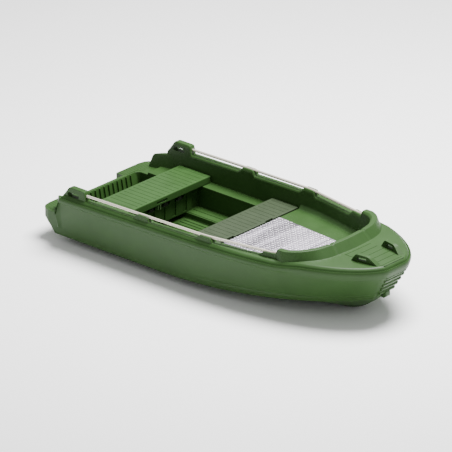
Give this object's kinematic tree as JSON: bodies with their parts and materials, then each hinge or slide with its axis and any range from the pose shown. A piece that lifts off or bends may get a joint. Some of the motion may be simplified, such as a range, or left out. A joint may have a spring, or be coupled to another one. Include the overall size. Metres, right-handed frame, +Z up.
{
  "type": "dinghy",
  "caption": "Rotomoulded plastic dinghy with a hinged stern bench, a lift-out middle bench, tube handrails, a tread plate and an outboard transom.",
  "frame": {"origin": "amidships on the centreline, on the keel's flat underside", "axes": "+X to the bow, +Y to port, +Z up"},
  "size_m": [3.7, 1.6, 0.638],
  "materials": {
    "hull": "rotomoulded polyethylene, satin",
    "bench": "moulded polyethylene, satin",
    "bench_grey": "moulded polyethylene, grey-green, satin",
    "foam": "closed-cell foam",
    "steel": "stainless, polished",
    "rail": "anodised tube, satin",
    "plate": "bright chequer plate",
    "board": "marine plywood",
    "rubber": "matt black"
  },
  "bodies": {
    "hull": {"bow_foam": "foam", "drain_tube": "steel", "floor_lashing_eye": "steel", "foredeck_foam": "foam", "hinge_deck_leaves": "steel", "hinge_pins": "steel", "hinge_screws": "steel", "hull_moulding": "hull", "keel_foam": "foam", "latch_screw": "steel", "port_gunwale_foam": "foam", "port_handrail": "rail", "port_quarter_foam": "foam", "port_side_foam": "foam", "starboard_gunwale_foam": "foam", "starboard_handrail": "rail", "starboard_quarter_foam": "foam", "starboard_side_foam": "foam", "stern_locker": "hull", "tow_eye_bush": "steel", "transom_board": "board", "tread_plate": "plate", "tread_plate_screws": "steel", "vent_plugs": "rubber"},
    "aft_bench": {"aft_bench": "bench", "hinge_bench_leaves": "steel", "latch_keeper": "steel"},
    "bench_latch": {"bench_latch": "steel"},
    "mid_bench": {"mid_bench": "bench_grey"},
    "drain_bung": {"drain_bung": "rubber"}
  },
  "joints": [
    {"name": "aft_bench_lift", "type": "hinge", "parent": "hull", "child": "aft_bench", "pos_m": [-1.394, 0, 0.323], "axis": [0, -1, 0], "range_deg": [0, 100]},
    {"name": "bench_latch_turn", "type": "hinge", "parent": "hull", "child": "bench_latch", "pos_m": [-1.05, 0, 0.255], "axis": [-1, 0, 0], "range_deg": [0, 90]},
    {"name": "middle_bench_lift_out", "type": "slide", "parent": "hull", "child": "mid_bench", "axis": [0, 0, 1], "range_m": [0, 0.3]},
    {"name": "drain_bung_pull", "type": "slide", "parent": "hull", "child": "drain_bung", "axis": [-1, 0, 0], "range_m": [0, 0.045]}
  ]
}
